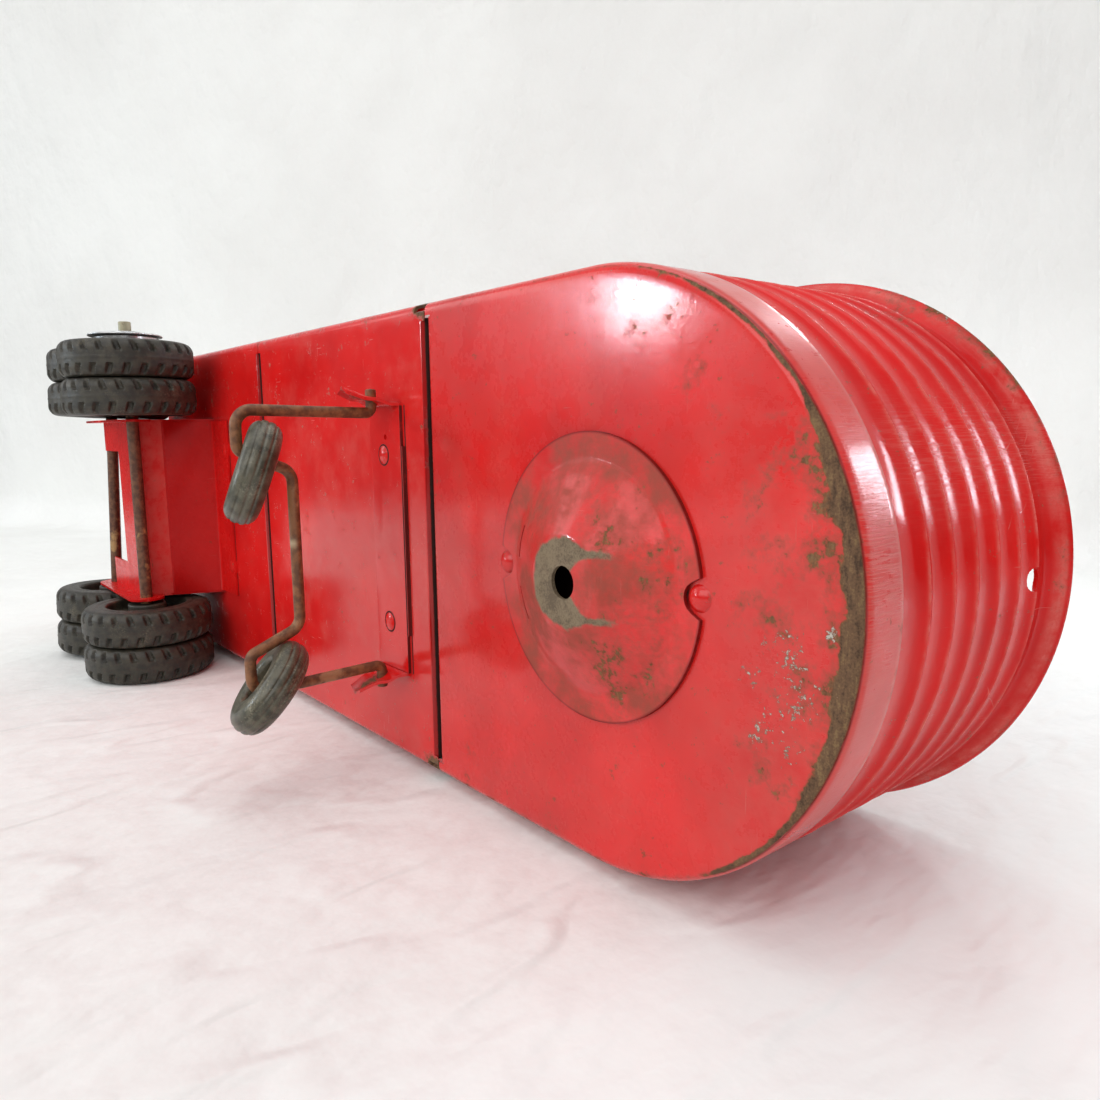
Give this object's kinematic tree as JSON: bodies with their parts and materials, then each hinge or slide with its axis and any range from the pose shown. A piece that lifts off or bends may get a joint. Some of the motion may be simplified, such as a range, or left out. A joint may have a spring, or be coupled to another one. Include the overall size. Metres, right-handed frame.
{
  "type": "toy semi-trailer",
  "caption": "Pressed-steel toy semi-trailer lying on its side: ribbed round-nosed body, coned hitch plate, folding wire leg with ring tyres, tandem bogie with paired tyres.",
  "frame": {"origin": "on the ground under the middle of the whole trailer, which lies on its left side, as it does in the picture. The centre of the round nose is at x 0.12845, and the floor's underside is the plane y -0.009816", "axes": "+X from the rear end to the round nose; +Y from the floor's underside through the floor to the open top; +Z up, which is from the trailer's left side to its right side, because it lies on its left side. To stand it on its wheels, turn it 90 degrees about +X, so that +Y points up"},
  "size_m": [0.3959, 0.1356, 0.1472],
  "materials": {
    "red_paint": "worn glossy enamel with rust at the edges",
    "rusty_wire": "rusty bent wire",
    "rusty_rod": "brown tarnished rod",
    "hub_plating": "dull plated sheet",
    "black_rubber": "dusty moulded rubber",
    "grey_rubber": "aged olive-grey rubber"
  },
  "bodies": {
    "trailer": {"nose_wall": "red_paint", "left_wall": "red_paint", "right_wall": "red_paint", "rear_panel": "red_paint", "front_floor": "red_paint", "middle_floor": "red_paint", "rear_floor": "red_paint", "hitch_plate": "red_paint", "hitch_rivets": "red_paint", "leg_bracket": "red_paint", "leg_rivets": "red_paint", "bogie_bracket": "red_paint", "bogie_rivets": "red_paint"},
    "leg": {"leg_wire": "rusty_wire"},
    "ring_right": {"ring_tyre_right": "grey_rubber"},
    "ring_left": {"ring_tyre_left": "grey_rubber"},
    "axle_front": {"front_axle": "rusty_rod", "front_hub_caps": "hub_plating", "front_washers": "hub_plating"},
    "axle_rear": {"rear_axle": "rusty_rod", "rear_hub_caps": "hub_plating", "rear_washers": "hub_plating"},
    "wheel_front_left_inner": {"tyre_front_left_inner": "black_rubber"},
    "wheel_front_left_outer": {"tyre_front_left_outer": "black_rubber"},
    "wheel_front_right_inner": {"tyre_front_right_inner": "black_rubber"},
    "wheel_front_right_outer": {"tyre_front_right_outer": "black_rubber"},
    "wheel_rear_left_inner": {"tyre_rear_left_inner": "black_rubber"},
    "wheel_rear_left_outer": {"tyre_rear_left_outer": "black_rubber"},
    "wheel_rear_right_inner": {"tyre_rear_right_inner": "black_rubber"},
    "wheel_rear_right_outer": {"tyre_rear_right_outer": "black_rubber"}
  },
  "joints": [
    {"name": "leg_fold", "type": "hinge", "parent": "trailer", "child": "leg", "pos_m": [0.04045, -0.01532, 0.0695], "axis": [0, 0, -1], "range_deg": [0, 70]},
    {"name": "ring_right_spin", "type": "hinge", "parent": "leg", "child": "ring_right", "pos_m": [0.0413, -0.05112, 0.09147], "axis": [0.307, 0.887, -0.345], "continuous": true},
    {"name": "ring_left_spin", "type": "hinge", "parent": "leg", "child": "ring_left", "pos_m": [0.03986, -0.04959, 0.03192], "axis": [0.231, 0.7436, -0.6274], "continuous": true},
    {"name": "front_axle_spin", "type": "hinge", "parent": "trailer", "child": "axle_front", "pos_m": [-0.12055, -0.04112, 0.0695], "axis": [0, 0, 1], "continuous": true},
    {"name": "rear_axle_spin", "type": "hinge", "parent": "trailer", "child": "axle_rear", "pos_m": [-0.17255, -0.04112, 0.0324], "axis": [0, 0.0471, 0.9989], "continuous": true},
    {"name": "front_left_inner_spin", "type": "hinge", "parent": "axle_front", "child": "wheel_front_left_inner", "pos_m": [-0.12055, -0.04112, 0.0695], "axis": [0, 0, 1], "continuous": true},
    {"name": "front_left_outer_spin", "type": "hinge", "parent": "axle_front", "child": "wheel_front_left_outer", "pos_m": [-0.12055, -0.04112, 0.0695], "axis": [0, 0, 1], "continuous": true},
    {"name": "front_right_inner_spin", "type": "hinge", "parent": "axle_front", "child": "wheel_front_right_inner", "pos_m": [-0.12055, -0.04112, 0.0695], "axis": [0, 0, 1], "continuous": true},
    {"name": "front_right_outer_spin", "type": "hinge", "parent": "axle_front", "child": "wheel_front_right_outer", "pos_m": [-0.12055, -0.04112, 0.0695], "axis": [0, 0, 1], "continuous": true},
    {"name": "rear_left_inner_spin", "type": "hinge", "parent": "axle_rear", "child": "wheel_rear_left_inner", "pos_m": [-0.17255, -0.04112, 0.0324], "axis": [0, 0.0471, 0.9989], "continuous": true},
    {"name": "rear_left_outer_spin", "type": "hinge", "parent": "axle_rear", "child": "wheel_rear_left_outer", "pos_m": [-0.17255, -0.04112, 0.0324], "axis": [0, 0.0471, 0.9989], "continuous": true},
    {"name": "rear_right_inner_spin", "type": "hinge", "parent": "axle_rear", "child": "wheel_rear_right_inner", "pos_m": [-0.17255, -0.04112, 0.0324], "axis": [0, 0.0471, 0.9989], "continuous": true},
    {"name": "rear_right_outer_spin", "type": "hinge", "parent": "axle_rear", "child": "wheel_rear_right_outer", "pos_m": [-0.17255, -0.04112, 0.0324], "axis": [0, 0.0471, 0.9989], "continuous": true}
  ]
}
